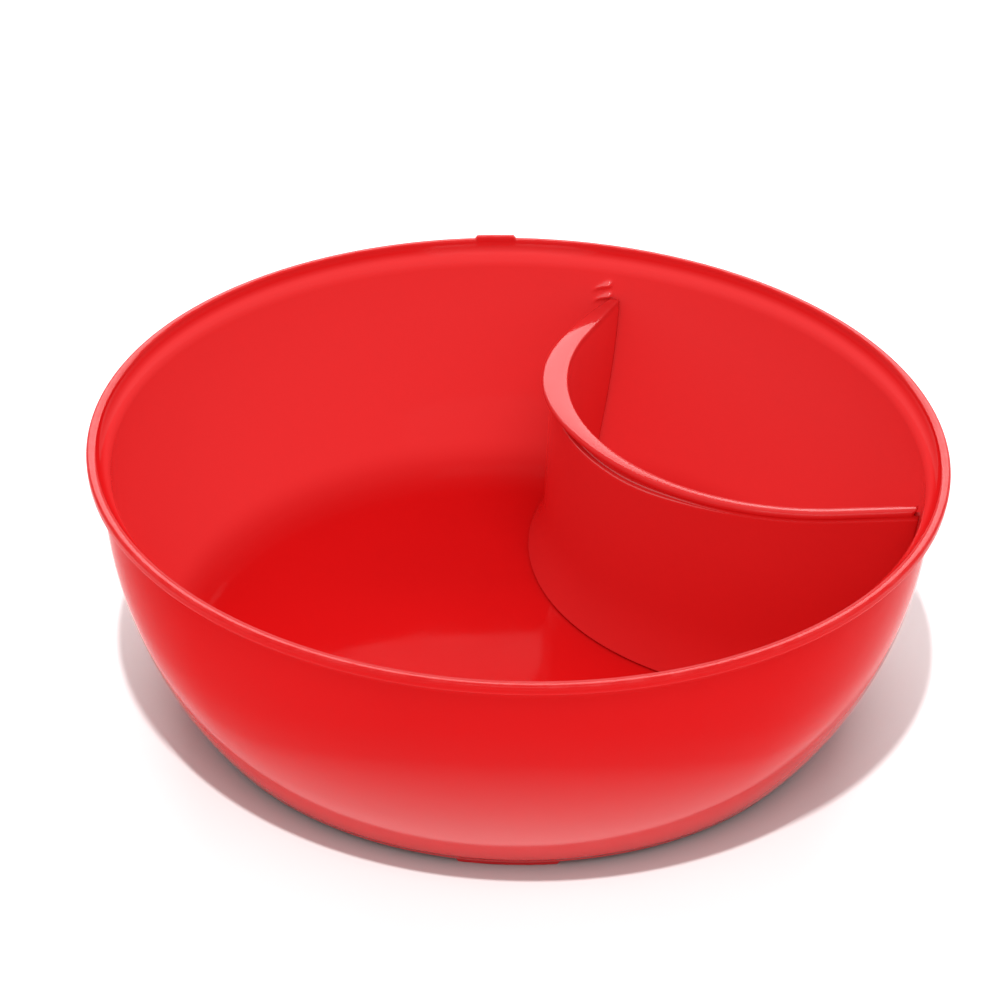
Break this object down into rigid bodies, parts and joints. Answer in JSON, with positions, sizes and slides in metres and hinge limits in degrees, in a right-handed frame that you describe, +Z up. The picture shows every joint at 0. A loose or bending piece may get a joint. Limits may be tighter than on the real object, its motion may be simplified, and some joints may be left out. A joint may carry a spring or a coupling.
{
  "type": "chip and dip server",
  "caption": "Round red plastic chip and dip bowl with a flared rim, a curved lift-out divider that makes a dip pocket, and a soft non-slip base ring.",
  "frame": {"origin": "centre of the bowl in the plane of the foot pads' undersides, which is the table plane", "axes": "+Z up, +X to the right and +Y to the back, with the dip pocket at the back right"},
  "size_m": [0.254, 0.254, 0.0841],
  "materials": {
    "glossy_shell": "moulded gloss",
    "glossy_divider": "moulded gloss",
    "soft_seal": "matte soft moulding",
    "soft_grip": "matte soft moulding"
  },
  "bodies": {
    "bowl_body": {"bowl": "glossy_shell", "grip_base": "soft_grip"},
    "divider_body": {"dip_divider": "glossy_divider", "divider_seal": "soft_seal"}
  },
  "joints": [
    {"name": "divider_lift", "type": "slide", "parent": "bowl_body", "child": "divider_body", "axis": [0, 0, 1], "range_m": [0, 0.1]}
  ]
}
